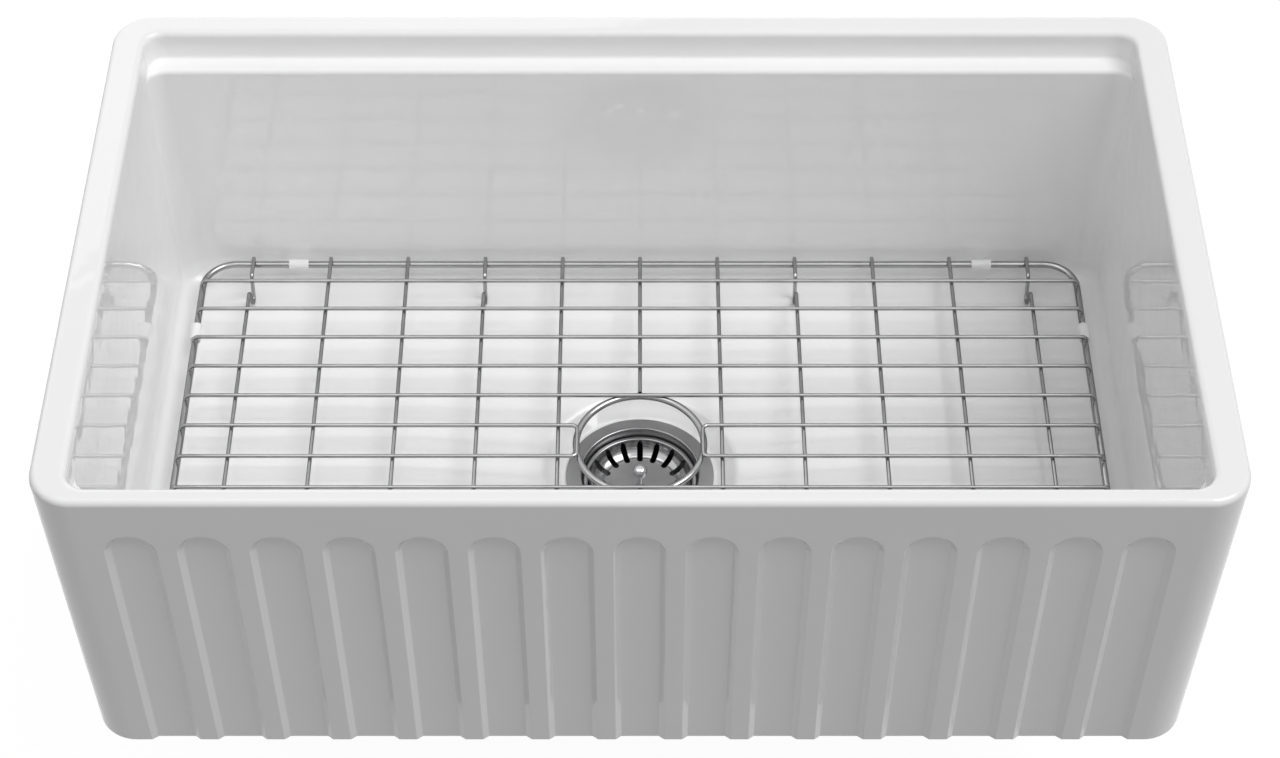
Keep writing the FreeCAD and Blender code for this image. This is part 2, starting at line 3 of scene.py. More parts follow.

# %% [markdown]
# # The frame
# The construction model comes first. It fixes every size: the basin, the drain fittings
# under it and the rod grid. This lesson only gives them their visible surfaces, and reads
# the boxes of its parts where a size is needed.

# %% Load the imported model
import bmesh
import bpy
import json
import math
import numpy as np
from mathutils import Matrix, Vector


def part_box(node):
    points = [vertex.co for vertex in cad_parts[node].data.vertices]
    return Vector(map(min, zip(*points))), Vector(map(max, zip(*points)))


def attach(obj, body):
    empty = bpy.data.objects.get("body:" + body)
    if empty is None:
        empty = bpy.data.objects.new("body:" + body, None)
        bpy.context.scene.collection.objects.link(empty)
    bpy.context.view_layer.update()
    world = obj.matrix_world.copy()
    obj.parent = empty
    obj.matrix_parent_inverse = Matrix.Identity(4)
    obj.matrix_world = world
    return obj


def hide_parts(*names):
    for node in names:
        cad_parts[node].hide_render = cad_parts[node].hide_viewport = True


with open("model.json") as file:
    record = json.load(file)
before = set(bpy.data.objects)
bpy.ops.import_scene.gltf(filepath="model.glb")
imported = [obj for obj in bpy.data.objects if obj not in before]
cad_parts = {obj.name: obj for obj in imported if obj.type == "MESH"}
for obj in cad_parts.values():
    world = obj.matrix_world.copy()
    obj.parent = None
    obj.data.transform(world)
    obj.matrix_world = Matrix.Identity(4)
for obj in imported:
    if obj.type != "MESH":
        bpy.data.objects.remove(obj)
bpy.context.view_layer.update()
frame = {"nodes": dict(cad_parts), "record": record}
MM = 0.001

# %% [markdown]
# ## Camera
# The photograph looks down at the sink from the front, about fifty degrees below level.
# Its uprights converge downwards, and the optical axis meets the picture below its
# middle, so the lens is shifted up a little instead of the camera being turned.

# %% Camera
CAMERA_DOWN = 50.609                  # degrees below the horizon
CAMERA_PLACE = (0.0, -1.2396, 1.4928)
LENS, SENSOR_WIDTH = 72.82, 36.0      # millimetres
SHIFT_UP = 0.0945

camera_data = bpy.data.cameras.new("studio_camera")
camera_data.lens = LENS
camera_data.sensor_width = SENSOR_WIDTH
camera_data.shift_y = SHIFT_UP
camera = bpy.data.objects.new("studio_camera", camera_data)
camera.location = CAMERA_PLACE
camera.rotation_euler = (math.radians(90 - CAMERA_DOWN), 0, 0)
bpy.context.scene.collection.objects.link(camera)
bpy.context.scene.camera = camera
bpy.context.scene.view_settings.view_transform = "Standard"
print("camera looks down", CAMERA_DOWN, "degrees")

# %% [markdown]
# ## Light
# A product photograph of a white sink lives from uneven light. One large soft box stands
# high on the right: it fills the left half of the bowl and leaves the right wall and the
# apron in their own shade. A weaker one answers it from the left, a long strip light hangs
# overhead and draws a thin bright line along every rounded edge, and a small soft light
# lifts the bowl. A low lamp behind keeps the back as readable as the front. The rest is
# calm light from the room, brightest in front.


# %% Soft boxes
def distant_box(name, comes_from, strength, spread):
    """A far lamp: its light comes evenly from one direction, over a disc spread degrees wide."""
    lamp = bpy.data.lights.new(name, "SUN")
    lamp.energy = strength * math.pi
    lamp.angle = math.radians(spread)
    holder = bpy.data.objects.new(name, lamp)
    holder.rotation_euler = Vector(comes_from).to_track_quat("Z", "Y").to_euler()
    bpy.context.scene.collection.objects.link(holder)
    return holder


def flat_light(name, comes_from, away, width, depth, strength):
    """A rectangular lamp that faces the origin, where a surface facing it gets that strength."""
    lamp = bpy.data.lights.new(name, "AREA")
    lamp.shape = "RECTANGLE"
    lamp.size, lamp.size_y = width, depth
    lamp.energy = strength * (math.pi * away) ** 2
    holder = bpy.data.objects.new(name, lamp)
    holder.location = Vector(comes_from).normalized() * away
    holder.rotation_euler = Vector(comes_from).to_track_quat("Z", "Y").to_euler()
    bpy.context.scene.collection.objects.link(holder)
    return holder


distant_box("right_box", comes_from=(0.48, -0.08, 0.87), strength=0.42, spread=34)
distant_box("left_box", comes_from=(-0.50, -0.06, 0.86), strength=0.08, spread=50)
distant_box("back_fill", comes_from=(-0.30, 0.92, 0.25), strength=0.27, spread=60)
flat_light("overhead_strip", comes_from=(0, 0.12, 0.99), away=3.0, width=2.2, depth=0.45,
           strength=0.078)
flat_light("soft_top", comes_from=(0.0, -0.24, 0.97), away=1.35, width=1.0, depth=0.5,
           strength=0.04)

# %% [markdown]
# ## Background
# The background is white because of its colour, not because of more light. The world is
# plain white where the camera or a mirror sees it. Where it lights the object it is a
# calmer grey, brighter in front than behind: the strength is a mean value plus a swing
# times the cosine of the angle to the bright side. The floor does the same with Light
# Path, and still shows the sink's shadow.


# %% Node helpers
def link(tree, start, end):
    """Joins an output socket to an input socket."""
    tree.links.new(start, end)


def node(tree, kind, **values):
    """A shader node with its inputs set by name or number."""
    made = tree.nodes.new(kind)
    for key, value in values.items():
        if key.startswith("in_"):
            slot_name = key[3:].replace("_", " ")
            made.inputs[int(slot_name) if slot_name.isdigit() else slot_name].default_value = value
        else:
            setattr(made, key, value)
    return made


def seen_directly(tree):
    """1 on camera, glossy and transmission rays, 0 on the rays that light the object."""
    path = node(tree, "ShaderNodeLightPath")
    first = node(tree, "ShaderNodeMath", operation="MAXIMUM")
    both = node(tree, "ShaderNodeMath", operation="MAXIMUM")
    link(tree, path.outputs["Is Camera Ray"], first.inputs[0])
    link(tree, path.outputs["Is Glossy Ray"], first.inputs[1])
    link(tree, first.outputs[0], both.inputs[0])
    link(tree, path.outputs["Is Transmission Ray"], both.inputs[1])
    return both.outputs[0]


# %% World
MEAN_LIGHT = 0.21                     # averaged over all directions
LIGHT_SWING = 0.34                    # added on the bright side, taken away on the dark one
BRIGHT_SIDE = (0.28, -0.94, 0.16)

world = bpy.data.worlds.new("white_studio")
bpy.context.scene.world = world
world.use_nodes = True
tree = world.node_tree
tree.nodes.clear()
sky = node(tree, "ShaderNodeBackground", in_Color=(1, 1, 1, 1))
direction = node(tree, "ShaderNodeTexCoord")
toward = node(tree, "ShaderNodeVectorMath", operation="DOT_PRODUCT")
toward.inputs[1].default_value = BRIGHT_SIDE
rise = node(tree, "ShaderNodeMath", operation="MULTIPLY_ADD")
rise.inputs[1].default_value = LIGHT_SWING
rise.inputs[2].default_value = MEAN_LIGHT
link(tree, direction.outputs["Generated"], toward.inputs[0])
link(tree, toward.outputs["Value"], rise.inputs[0])
link(tree, rise.outputs[0], sky.inputs["Strength"])
white = node(tree, "ShaderNodeBackground", in_Color=(1, 1, 1, 1), in_Strength=1.0)
either = node(tree, "ShaderNodeMixShader")
link(tree, seen_directly(tree), either.inputs[0])
link(tree, sky.outputs[0], either.inputs[1])
link(tree, white.outputs[0], either.inputs[2])
link(tree, either.outputs[0], node(tree, "ShaderNodeOutputWorld").inputs[0])
print("world light", MEAN_LIGHT, "swing", LIGHT_SWING)

# %% Floor
FLOOR_GAP = 0.0005                    # between the floor and the lowest fitting
FLOOR_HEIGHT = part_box("tailpiece")[0][2] - FLOOR_GAP
FLOOR_REACH = 6.0
FLOOR_GREY, FLOOR_GLOW = 0.10, 0.95

corner_signs = [(-1, -1), (1, -1), (1, 1), (-1, 1)]
floor_mesh = bpy.data.meshes.new("floor")
floor_mesh.from_pydata([(x * FLOOR_REACH, y * FLOOR_REACH, FLOOR_HEIGHT) for x, y in corner_signs],
                       [], [(0, 1, 2, 3)])
floor = bpy.data.objects.new("floor", floor_mesh)
bpy.context.scene.collection.objects.link(floor)

floor_paint = bpy.data.materials.new("white_floor")
floor_paint.use_nodes = True
tree = floor_paint.node_tree
tree.nodes.clear()
matt = node(tree, "ShaderNodeBsdfDiffuse", in_Color=(FLOOR_GREY, FLOOR_GREY, FLOOR_GREY, 1))
glow = node(tree, "ShaderNodeEmission", in_Color=(1, 1, 1, 1))
lift = node(tree, "ShaderNodeMath", operation="MULTIPLY")
lift.inputs[1].default_value = FLOOR_GLOW
link(tree, seen_directly(tree), lift.inputs[0])
link(tree, lift.outputs[0], glow.inputs["Strength"])
total = node(tree, "ShaderNodeAddShader")
link(tree, matt.outputs[0], total.inputs[0])
link(tree, glow.outputs[0], total.inputs[1])
link(tree, total.outputs[0], node(tree, "ShaderNodeOutputMaterial").inputs[0])
floor_mesh.materials.append(floor_paint)
print("floor at", round(FLOOR_HEIGHT, 4))

# %% [markdown]
# ## Shared finishes
# Glaze, pressed steel and rubber all vary a little over their surface. One group gives
# that: cloudy noise between a low and a high value. A second group gives the fine
# turning marks of the strainer, rings about the drain's axis, and the distance from that
# axis, with which a finish can change from the flange to the cup.


# %% Node groups
def group(name, inputs, outputs):
    """A shader node group with named sockets, and its two end nodes."""
    made = bpy.data.node_groups.new(name, "ShaderNodeTree")
    for label, kind, value in inputs:
        socket = made.interface.new_socket(label, in_out="INPUT", socket_type=kind)
        if value is not None:
            socket.default_value = value
    for label, kind in outputs:
        made.interface.new_socket(label, in_out="OUTPUT", socket_type=kind)
    return made, made.nodes.new("NodeGroupInput"), made.nodes.new("NodeGroupOutput")


FLOAT = "NodeSocketFloat"
cloudy, ends_in, ends_out = group(
    "cloudy",
    [("Scale", FLOAT, 20.0), ("Detail", FLOAT, 2.0), ("Low", FLOAT, 0.0), ("High", FLOAT, 1.0)],
    [("Value", FLOAT)])
place = node(cloudy, "ShaderNodeTexCoord")
noise = node(cloudy, "ShaderNodeTexNoise")
spread = node(cloudy, "ShaderNodeMapRange", in_From_Min=0.3, in_From_Max=0.7)
link(cloudy, place.outputs["Object"], noise.inputs["Vector"])
link(cloudy, ends_in.outputs["Scale"], noise.inputs["Scale"])
link(cloudy, ends_in.outputs["Detail"], noise.inputs["Detail"])
link(cloudy, noise.outputs[0], spread.inputs["Value"])
link(cloudy, ends_in.outputs["Low"], spread.inputs["To Min"])
link(cloudy, ends_in.outputs["High"], spread.inputs["To Max"])
link(cloudy, spread.outputs[0], ends_out.inputs["Value"])

DRAIN = -2.0                          # y of the drain axis, in millimetres
turned_marks, ends_in, ends_out = group("turned_marks", [("Pitch", FLOAT, 2500.0)],
                                        [("Value", FLOAT), ("Radius", FLOAT)])
place = node(turned_marks, "ShaderNodeTexCoord")
centred = node(turned_marks, "ShaderNodeVectorMath", operation="SUBTRACT")
centred.inputs[1].default_value = (0, DRAIN * MM, 0)
flat = node(turned_marks, "ShaderNodeVectorMath", operation="MULTIPLY")
flat.inputs[1].default_value = (1, 1, 0)
radius = node(turned_marks, "ShaderNodeVectorMath", operation="LENGTH")
rings = node(turned_marks, "ShaderNodeTexNoise", noise_dimensions="1D", in_Detail=3.0)
link(turned_marks, place.outputs["Object"], centred.inputs[0])
link(turned_marks, centred.outputs[0], flat.inputs[0])
link(turned_marks, flat.outputs[0], radius.inputs[0])
link(turned_marks, radius.outputs["Value"], rings.inputs["W"])
link(turned_marks, ends_in.outputs["Pitch"], rings.inputs["Scale"])
link(turned_marks, rings.outputs[0], ends_out.inputs["Value"])
link(turned_marks, radius.outputs["Value"], ends_out.inputs["Radius"])
print("groups:", [g.name for g in bpy.data.node_groups])


# %% Material maker
def varied(tree, scale, low, high, detail=2.0):
    """The cloudy group, placed in a material with its own values."""
    made = tree.nodes.new("ShaderNodeGroup")
    made.node_tree = cloudy
    for label, value in (("Scale", scale), ("Detail", detail), ("Low", low), ("High", high)):
        made.inputs[label].default_value = value
    return made.outputs["Value"]


def material(name, dark, light, scale, rough, rough_scale, **sockets):
    """A Principled material: colour clouds between dark and light, roughness between its two
    values, and the remaining sockets as plain numbers."""
    made = bpy.data.materials.new(name)
    made.use_nodes = True
    tree = made.node_tree
    shader = tree.nodes["Principled BSDF"]
    blend = node(tree, "ShaderNodeMix", data_type="RGBA")
    blend.inputs["A"].default_value = (*dark, 1)
    blend.inputs["B"].default_value = (*light, 1)
    link(tree, varied(tree, scale, 0, 1), blend.inputs["Factor"])
    link(tree, blend.outputs["Result"], shader.inputs["Base Color"])
    link(tree, varied(tree, rough_scale, *rough, 3.0), shader.inputs["Roughness"])
    for label, value in sockets.items():
        shader.inputs[label.replace("_", " ")].default_value = value
    return made


def bumpy(made, height, strength, distance):
    """Lets a height value tilt the material's normal."""
    tree = made.node_tree
    bump = node(tree, "ShaderNodeBump", in_Strength=strength, in_Distance=distance)
    link(tree, height, bump.inputs["Height"])
    link(tree, bump.outputs["Normal"], tree.nodes["Principled BSDF"].inputs["Normal"])


def turned_value(tree, pitch, output="Value"):
    """The turned marks group, placed in a material: its noise value or its radius."""
    made = tree.nodes.new("ShaderNodeGroup")
    made.node_tree = turned_marks
    made.inputs["Pitch"].default_value = pitch
    return made.outputs[output]


def by_radius(made, label, stops):
    """Sets a Principled socket by the distance from the drain axis: stops are (metres, value)."""
    tree = made.node_tree
    reach = 0.064                         # radius at the ramp's far end
    share = node(tree, "ShaderNodeMath", operation="DIVIDE")
    share.inputs[1].default_value = reach
    ramp = tree.nodes.new("ShaderNodeValToRGB")
    link(tree, turned_value(tree, 1.0, "Radius"), share.inputs[0])
    link(tree, share.outputs[0], ramp.inputs[0])
    marks = ramp.color_ramp.elements
    while len(marks) < len(stops):
        marks.new(0.5)
    for mark, (distance, value) in zip(marks, stops):
        mark.position = distance / reach
        mark.color = (value, value, value, 1)
    link(tree, ramp.outputs["Color"], tree.nodes["Principled BSDF"].inputs[label])


# %% [markdown]
# ### The finishes
# Fired glaze is a hard, clear glass over white clay: very smooth, with waves too shallow to
# see except in a reflection. The strainer is pressed steel, brushed on its flange, polished
# on its lip and dull again inside. The rods are electropolished, so they are smooth but
# grey. Rubber, fibre and plastic are rougher and differ mostly in colour.

# %% Materials
glaze = material("white_glaze", (0.955, 0.955, 0.955), (0.97, 0.97, 0.969), scale=6.0,
                 rough=(0.015, 0.035), rough_scale=14.0, IOR=1.52)
bumpy(glaze, varied(glaze.node_tree, 28.0, 0, 1), strength=0.06, distance=0.002)

DRAIN_SHINE = [(0, 0.38), (0.0265, 0.34), (0.0285, 0.16), (0.0424, 0.12), (0.0429, 0.36),
               (0.0435, 0.34), (0.0440, 0.10), (0.0452, 0.34), (0.064, 0.36)]
brushed = material("brushed_flange", (0.30, 0.30, 0.305), (0.36, 0.36, 0.365), scale=40.0,
                   rough=(0.30, 0.38), rough_scale=60.0, Metallic=1.0)
by_radius(brushed, "Roughness", DRAIN_SHINE)
bumpy(brushed, turned_value(brushed.node_tree, 2600.0), strength=0.12, distance=0.0001)

polished = material("polished_steel", (0.60, 0.60, 0.61), (0.68, 0.68, 0.69), scale=30.0,
                    rough=(0.06, 0.12), rough_scale=80.0, Metallic=1.0,
                    Specular_Tint=(0.35, 0.35, 0.35, 1))
rod_steel = material("rod_steel", (0.38, 0.38, 0.385), (0.44, 0.44, 0.445), scale=40.0,
                     rough=(0.11, 0.17), rough_scale=90.0, Metallic=1.0,
                     Specular_Tint=(0.2, 0.2, 0.2, 1))
bumper_white = material("white_rubber", (0.90, 0.90, 0.90), (0.94, 0.94, 0.935), scale=60.0,
                        rough=(0.35, 0.5), rough_scale=120.0)
black = material("black_rubber", (0.012, 0.012, 0.013), (0.03, 0.03, 0.031), scale=50.0,
                 rough=(0.5, 0.65), rough_scale=90.0)
seal = material("sealant", (0.62, 0.61, 0.58), (0.74, 0.73, 0.70), scale=35.0,
                rough=(0.45, 0.6), rough_scale=80.0)
fibre = material("pressed_fibre", (0.20, 0.16, 0.11), (0.36, 0.30, 0.22), scale=160.0,
                 rough=(0.8, 0.95), rough_scale=200.0)
plastic = material("moulded_plastic", (0.68, 0.68, 0.66), (0.76, 0.76, 0.73), scale=25.0,
                   rough=(0.3, 0.45), rough_scale=60.0)
cast = material("cast_nut", (0.30, 0.30, 0.31), (0.46, 0.46, 0.47), scale=90.0,
                rough=(0.35, 0.6), rough_scale=140.0, Metallic=0.8)
bumpy(cast, varied(cast.node_tree, 500.0, 0, 1), strength=0.3, distance=0.0003)
print("materials:", len(bpy.data.materials))

# %% [markdown]
# ## From numbers to a mesh
# Every new piece is a grid of points worked out as one numpy array: rows one way, columns
# the other. Four neighbours make a face. Grids that share an edge are merged, which closes
# seams and poles, and an even-shading modifier keeps large flat faces flat beside the small
# roundings.


# %% Grids to mesh
def grid_faces(rows, columns, first, around):
    """Quads between neighbouring points of a grid whose first vertex has the given number."""
    row = np.arange(rows - 1)[:, None]
    column = np.arange(columns if around else columns - 1)[None, :]
    following = (column + 1) % columns
    corners = [row * columns + column, row * columns + following,
               (row + 1) * columns + following, (row + 1) * columns + column]
    return first + np.stack(corners, axis=-1).reshape(-1, 4)


def piece(name, grids, skin, body, slot_name, *replaced, merge=0.002, sharp=None):
    """One object from grids of (points in millimetres, whether the columns close). Edges that
    turn by more than sharp degrees stay crisp."""
    points, faces, count = [], [], 0
    for grid, around in grids:
        rows, columns = grid.shape[:2]
        points.append(grid.reshape(-1, 3) * MM)
        faces.append(grid_faces(rows, columns, count, around))
        count += rows * columns
    mesh = bpy.data.meshes.new(name)
    mesh.from_pydata(np.concatenate(points).tolist(), [], np.concatenate(faces).tolist())
    work = bmesh.new()
    work.from_mesh(mesh)
    bmesh.ops.remove_doubles(work, verts=work.verts, dist=merge * MM)
    bmesh.ops.dissolve_degenerate(work, edges=work.edges, dist=merge * MM * 0.5)
    bmesh.ops.recalc_face_normals(work, faces=work.faces)
    open_edges = sum(not e.is_manifold for e in work.edges)
    work.to_mesh(mesh)
    work.free()
    mesh.shade_smooth()
    if sharp:
        mesh.set_sharp_from_angle(angle=math.radians(sharp))
    mesh.materials.append(skin)
    made = bpy.data.objects.new(name, mesh)
    bpy.context.scene.collection.objects.link(made)
    even = made.modifiers.new("even_shading", "WEIGHTED_NORMAL")
    even.keep_sharp = True
    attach(made, body)
    if replaced:
        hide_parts(*replaced)
    triangles = sum(len(p.vertices) - 2 for p in mesh.polygons)
    print(name, "triangles:", triangles, "open edges:", open_edges)
    return made


def bend(steps):
    """Angles of a quarter turn in equal steps, both ends included."""
    return np.linspace(0, math.pi / 2, steps + 1)


# %% [markdown]
# ## The basin
# A fireclay casting is thick and soft edged: the clay is cast in one mould, dried, and
# dipped in glaze that rounds every edge. It could be modelled with booleans, but glaze
# shows every ripple in a mirror line. So the whole skin is built from closed loops that
# keep the same columns from the apron over the rim, down the ledges and walls, over the
# floor and into the drain hole.

# %% Basin sizes
HALF_X = 381.0
HALF_Y = 230.0
RIM = 260.0
LEAN = math.tan(math.radians(1.0))    # the ends lean in towards the base
LEAN_TOP = RIM - 8.0                  # above this the ends stand upright
OUTER_CORNER = 28.0
RIM_ROUND = 4.5
BOWL_X = 357.5                        # half the length of the opening
UPPER_FRONT, UPPER_BACK, UPPER_CORNER = -216.5, 209.5, 14.0
LEDGE_WIDTH, LEDGE_HEIGHT = 15.5, 237.5
LEDGE_ROOT, LEDGE_ROUND = 2.5, 3.5    # rounding behind and in front of the tread
LEDGE_TREAD = [5.0, 8.5]              # rows of points on the flat tread
BOWL_CORNER, FLOOR_ROUND, FLOOR = 19.0, 16.0, 30.0
LEDGE_CORNER = 14.0                   # the bowl is sharper cornered just under the ledges
RIM_INNER = 4.5

FLUTES = 15
ARCH = 16.7                           # half the width of a flute
END_LAND = 43.35                      # from the basin's end to the first flute
FLUTE_PITCH = (2 * HALF_X - 2 * END_LAND - 2 * ARCH) / (FLUTES - 1)
ARCH_HEIGHT = 209.8                   # centre of the arch
BEVEL = 3.8                           # width and depth of the sloping sides
SOFT = 0.8                            # glaze rounding along both edges of a bevel
CELL = FLUTE_PITCH / 2
FIELD_TOP = ARCH_HEIGHT + CELL
print("basin", 2 * HALF_X, "x", 2 * HALF_Y, "x", RIM, "mm, flutes every", round(FLUTE_PITCH, 2))

# %% Columns round the basin
RAY = np.radians(np.linspace(135, 45, 21))
cell_x = CELL / np.tan(RAY)
centres = (np.arange(FLUTES) - (FLUTES - 1) / 2) * FLUTE_PITCH
front_x = np.append((centres[:, None] + cell_x[None, :-1]).ravel(), centres[-1] + cell_x[-1])
field_half = HALF_X - (RIM - FIELD_TOP) * LEAN - OUTER_CORNER


def column_block(along_x, along_y, angle):
    """Columns by their place between the corner centres and the direction they face."""
    along_x, along_y, angle = np.broadcast_arrays(along_x, along_y, np.radians(angle))
    return np.stack([along_x, along_y, np.cos(angle), np.sin(angle)], axis=-1).astype(float)


CORNER_STEPS = 16
quarter = np.linspace(0, 90, CORNER_STEPS + 1)
inner_side = np.linspace(0, 1, 17)[1:-1]
inner_back = np.linspace(1, -1, 31)[1:-1]
columns = np.concatenate([
    column_block(front_x / field_half, 0, -90),
    column_block(1, 0, quarter - 90), column_block(1, inner_side, 0),
    column_block(1, 1, quarter), column_block(inner_back, 1, 90),
    column_block(-1, 1, quarter + 90), column_block(-1, inner_side[::-1], 180),
    column_block(-1, 0, quarter + 180),
])
ALONG_X, ALONG_Y, NORMAL_X, NORMAL_Y = columns.T
print("columns round the basin:", len(columns))


def loops(half_x, front, back, corner, height):
    """Closed loops, one row each. A column lies between the corner centres at its share of
    their distance, and its facing direction times the corner radius is added."""
    parts = np.broadcast_arrays(half_x, front, back, corner, height)
    half, near, far, radius, z = (np.array(p, float).reshape(-1, 1) for p in parts)
    x = ALONG_X * (half - radius) + radius * NORMAL_X
    y = near + radius + ALONG_Y * (far - near - 2 * radius) + radius * NORMAL_Y
    return np.stack([x, y, z + 0 * x], axis=-1)


# %% Rim loops
def outside(inset, height):
    """Loops of the outer face, drawn in by inset."""
    half = HALF_X - (RIM - np.minimum(height, LEAN_TOP)) * LEAN - inset
    return loops(half, inset - HALF_Y, HALF_Y - inset, OUTER_CORNER - inset, height)


def upper(grow, height):
    """Loops of the opening above the ledges, widened by grow."""
    return loops(BOWL_X + grow, UPPER_FRONT - grow, UPPER_BACK + grow, UPPER_CORNER + grow, height)


arc = bend(10)[1:]
rim_start = RIM - RIM_ROUND
outer_rows = outside(np.zeros(4), np.array([FIELD_TOP, 238.0, 246.0, rim_start]))
rim_rows = outside(RIM_ROUND * (1 - np.cos(arc)), rim_start + RIM_ROUND * np.sin(arc))
arc = bend(8)
inner_rim_rows = upper(RIM_INNER * (1 - np.sin(arc)), RIM - RIM_INNER * (1 - np.cos(arc)))
upper_rows = upper(np.zeros(2), np.array([251.0, 245.0]))
print("loops over the rim:", len(rim_rows) + len(inner_rim_rows))

# %% [markdown]
# ### Ledges
# A ledge runs inside the front and the back for boards and racks. It doesn't go round
# the ends: there the wall is straight, and each ledge runs out in a thin cusp. The loops
# cross the ledge one after the other. At the ends, where they would all lie in one line,
# their height is spread down the wall instead.

# %% Ledge loops
CUSP = 0.2                            # how far round the corner a ledge fades out
root, nose = bend(5)[1:], bend(6)
ledge_in = np.concatenate([[0], LEDGE_ROOT * (1 - np.cos(root)), LEDGE_TREAD,
                           LEDGE_WIDTH - LEDGE_ROUND + LEDGE_ROUND * np.sin(nose)])
ledge_z = LEDGE_HEIGHT + np.concatenate([
    [LEDGE_ROOT], LEDGE_ROOT * (1 - np.sin(root)), [0] * len(LEDGE_TREAD),
    -LEDGE_ROUND * (1 - np.cos(nose))])
share = ledge_in / LEDGE_WIDTH
ledge_rows = loops(BOWL_X, UPPER_FRONT + ledge_in, UPPER_BACK - ledge_in,
                   UPPER_CORNER + (LEDGE_CORNER - UPPER_CORNER) * share, ledge_z)
spread_z = np.linspace(ledge_z[0], ledge_z[-1], len(ledge_z))[:, None]
keep = np.clip(np.abs(NORMAL_Y) / CUSP, 0, 1)
keep = keep * keep * (3 - 2 * keep)
ledge_rows[..., 2] = keep * ledge_rows[..., 2] + (1 - keep) * spread_z
print("loops over the ledges:", len(ledge_rows))


# %% Bowl loops
def bowl(inset, height, corner=BOWL_CORNER):
    """Loops of the bowl below the ledges, drawn in by inset."""
    front, back = UPPER_FRONT + LEDGE_WIDTH, UPPER_BACK - LEDGE_WIDTH
    return loops(BOWL_X - inset, front + inset, back - inset, corner - inset, height)


wall_z = np.array([220.0, 190.0, 150.0, 110.0, 75.0])
wall_rows = bowl(np.zeros(5), wall_z, np.interp(wall_z, [75.0, 220.0], [BOWL_CORNER, LEDGE_CORNER]))
arc = bend(12)
fillet_rows = bowl(FLOOR_ROUND * (1 - np.cos(arc)), FLOOR + FLOOR_ROUND * (1 - np.sin(arc)))
print("loops down the bowl:", len(wall_rows) + len(fillet_rows))

# %% [markdown]
# ### Floor and drain seat
# The floor falls gently to the drain, then drops over a soft dish to the seat that the
# strainer's flange lies on. The loops turn from the bowl's rounded oblong into circles
# about the drain, and from there an outline with rounded corners is simply turned.


# %% Rounded outlines
def rounded(points, steps=8):
    """A polyline with its corners rounded: each (x, z, radius) corner becomes an arc that
    touches both of its sides. Points without a radius stay sharp."""
    corners = [np.array(p[:2], float) for p in points]
    radii = [p[2] if len(p) > 2 else 0 for p in points]
    out = []
    for i, (corner, radius) in enumerate(zip(corners, radii)):
        if not radius:
            out.append(corner[None, :])
            continue
        before = corners[i - 1] - corner
        after = corners[(i + 1) % len(corners)] - corner
        before, after = before / np.linalg.norm(before), after / np.linalg.norm(after)
        half = math.acos(np.clip(before @ after, -1, 1)) / 2
        inward = (before + after) / np.linalg.norm(before + after)
        middle = corner + inward * radius / math.sin(half)
        start = corner + before * radius / math.tan(half) - middle
        turn = math.pi - 2 * half
        turn *= np.sign(before[0] * after[1] - before[1] * after[0]) * -1
        t = np.linspace(0, turn, steps + 1)[:, None]
        side = np.array([-start[1], start[0]])
        out.append(middle + np.cos(t) * start + np.sin(t) * side)
    return np.concatenate(out)


# %% Floor loops
FALL_START, FALL_SOFT = 172.0, 190.0  # radius where the floor begins to fall, and its bend
DISH, DISH_HEIGHT = 72.0, 24.0        # edge of the dish round the strainer
SEAT, SEAT_HEIGHT, HOLE = 58.0, 13.2, 45.0
RECESS, RECESS_DEPTH = 62.0, 3.0      # room for the gasket under the basin
floor_edge = fillet_rows[-1]
outward = floor_edge[:, :2] - [0, DRAIN]
outward /= np.linalg.norm(outward, axis=1)[:, None]
drain_outline = rounded([
    (FALL_START + 6.0, FLOOR), (FALL_START, FLOOR, FALL_SOFT), (DISH, DISH_HEIGHT, 9.0),
    (SEAT, SEAT_HEIGHT, 5.0), (HOLE, SEAT_HEIGHT, 0.8), (HOLE, RECESS_DEPTH, 0.5),
    (RECESS, RECESS_DEPTH, 0.8), (RECESS, 0)])


def circles(outline):
    """Loops about the drain axis, one for each (radius, height)."""
    flat = outward[None] * outline[:, :1, None] + np.array([0, DRAIN])
    height = np.broadcast_to(outline[:, 1:, None], flat[..., :1].shape)
    return np.concatenate([flat, height], axis=-1)


drain_rows = circles(drain_outline)
step = np.linspace(0, 1, 7)[1:-1, None, None]
floor_rows = floor_edge + (drain_rows[0] - floor_edge) * step
inside = np.concatenate([outer_rows, rim_rows, inner_rim_rows, upper_rows, ledge_rows, wall_rows,
                         fillet_rows, floor_rows, drain_rows])
print("loops from the apron's top to the drain:", len(inside))

# %% [markdown]
# ### Flutes
# Fifteen arched flutes run down the apron. Each is a shallow bed with sloping sides, and
# the glaze has softened both edges of the slope. Every flute gets a square-topped cell.
# Lines cross the flute's outline at right angles: level ones along the straight sides,
# and rays from the arch's centre above. Along a line, depth is one fixed profile.

# %% Flute profile
ease = math.radians(45) * np.linspace(0, 1, 4)
tangent = SOFT * math.tan(math.radians(22.5))
margin = 1.6                          # of plain face outside the rounding
profile_in = np.concatenate([[-tangent - margin], -tangent + SOFT * np.sin(ease),
                             BEVEL + tangent - SOFT * np.sin(ease[::-1]), [ARCH]])
profile_depth = np.concatenate([[0], SOFT * (1 - np.cos(ease)),
                                BEVEL - SOFT * (1 - np.cos(ease[::-1])), [BEVEL]])
profile_out = ARCH - profile_in       # distance from the flute's middle
print("points from the plain face to the bed:", len(profile_in))

# %% Rows of a flute and of the plain faces beside it
FOOT_LAND, FOOT_BED = 3.0, 1.0        # rounding under the lands and under the beds
side_angles = np.radians(np.linspace(45, 0, 11))
ray_z = ARCH_HEIGHT + CELL * np.tan(side_angles)
plain_z = np.linspace(ARCH_HEIGHT, 12.0, 9)[1:]
foot = bend(6)

